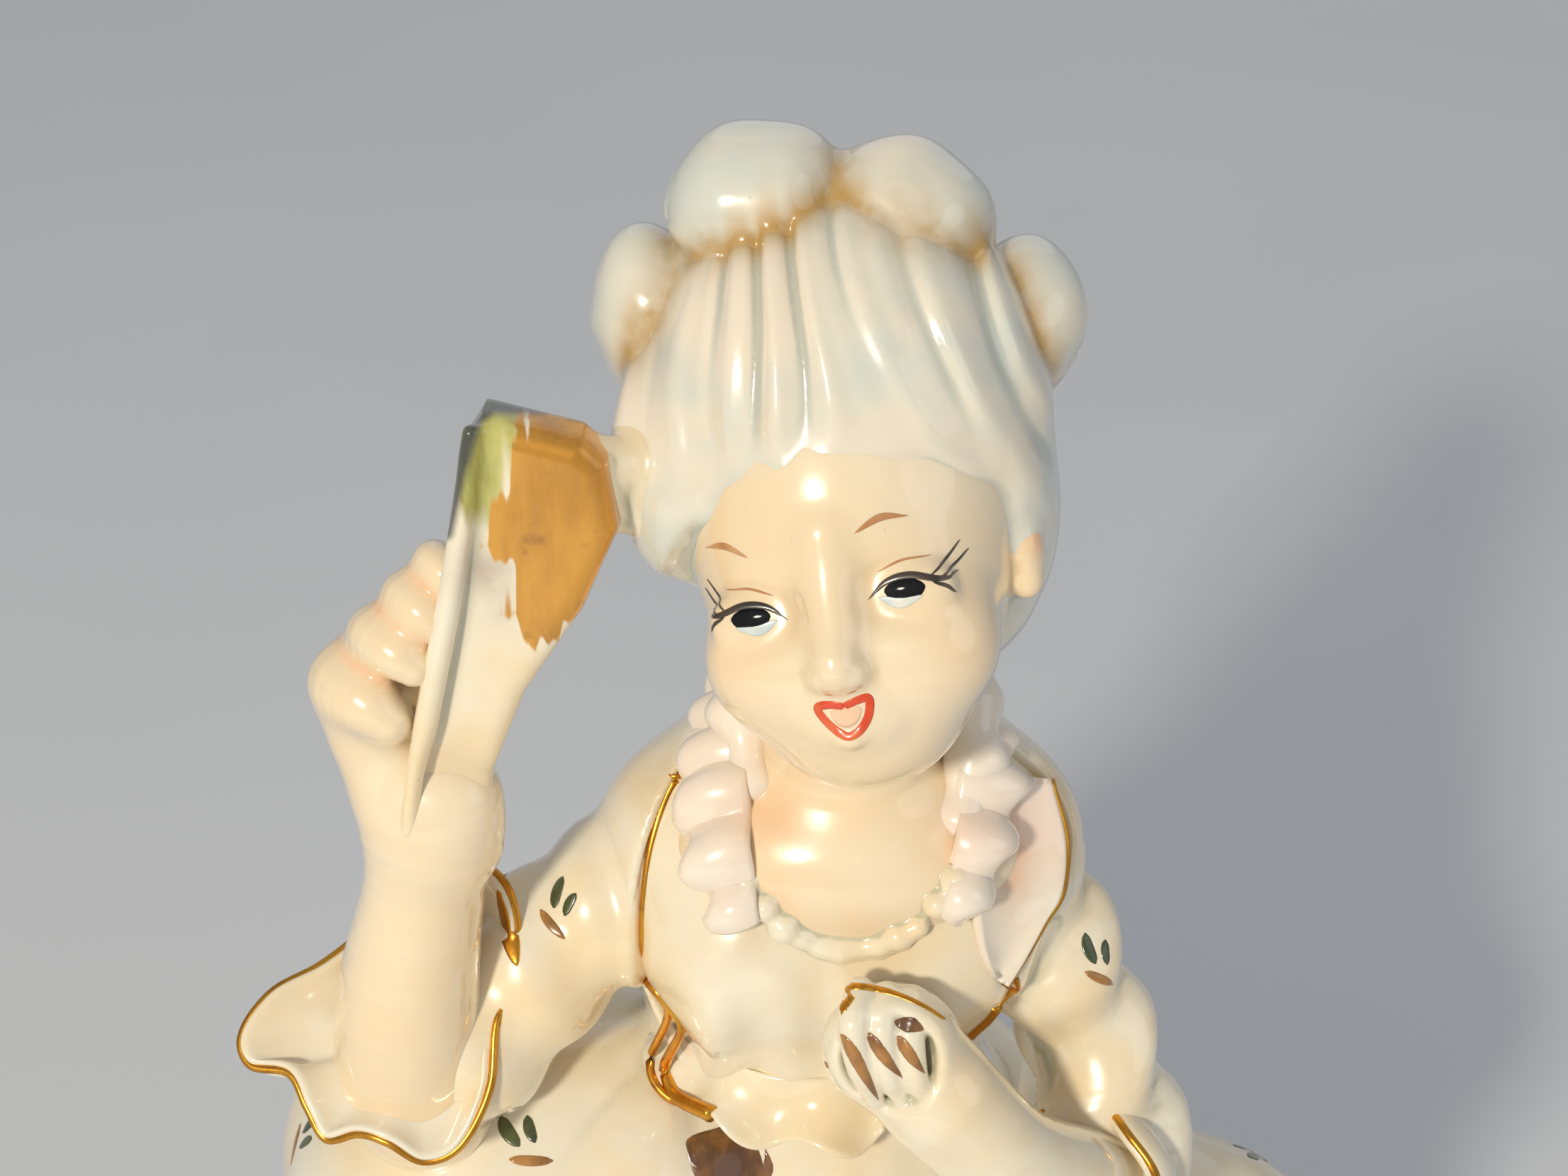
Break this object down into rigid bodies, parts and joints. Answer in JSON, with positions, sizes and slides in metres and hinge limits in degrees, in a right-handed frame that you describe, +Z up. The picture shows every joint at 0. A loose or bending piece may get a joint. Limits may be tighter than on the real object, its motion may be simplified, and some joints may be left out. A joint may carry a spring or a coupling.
{
  "type": "porcelain lady figurine",
  "caption": "Glazed porcelain figurine of a lady in a wide court dress, one hand on her breast and the other raised with a closed gilt fan beside her dressed hair, on a scalloped oval base.",
  "frame": {"origin": "under the middle of the base, on the surface it stands on", "axes": "+Z up, the lady faces -Y, her raised right arm is on the -X side"},
  "size_m": [0.092, 0.08, 0.152],
  "materials": {
    "base_glaze": "glossy clear glaze over white porcelain",
    "dress_glaze": "glossy clear glaze over white porcelain, with painted sprigs and gilt edges",
    "skin_glaze": "glossy clear glaze over white porcelain with a warm flesh tint",
    "hair_glaze": "glossy glaze with a faint lustre, ochre in the hollows",
    "gilding": "brushed fired gold over glazed porcelain"
  },
  "bodies": {
    "root": {"base_plinth": "base_glaze", "bodice": "dress_glaze", "collar_frill": "dress_glaze", "fan_stay": "dress_glaze", "hem_flounce": "dress_glaze", "left_cuff": "dress_glaze", "left_drape": "dress_glaze", "left_lapel": "dress_glaze", "left_pannier": "dress_glaze", "left_sleeve": "dress_glaze", "neckline_edging": "dress_glaze", "right_cuff": "dress_glaze", "right_drape": "dress_glaze", "right_lapel": "dress_glaze", "right_pannier": "dress_glaze", "right_sleeve": "dress_glaze", "skirt_shell": "dress_glaze", "stomacher": "dress_glaze", "bust": "skin_glaze", "head": "skin_glaze", "left_forearm": "skin_glaze", "left_hand": "skin_glaze", "right_forearm": "skin_glaze", "right_hand": "skin_glaze", "chignon": "hair_glaze", "hair_crown": "hair_glaze", "hair_roll_1": "hair_glaze", "hair_roll_2": "hair_glaze", "hair_roll_3": "hair_glaze", "hair_roll_4": "hair_glaze", "hair_roll_5": "hair_glaze", "hair_roll_6": "hair_glaze", "fan": "gilding"}
  },
  "joints": []
}
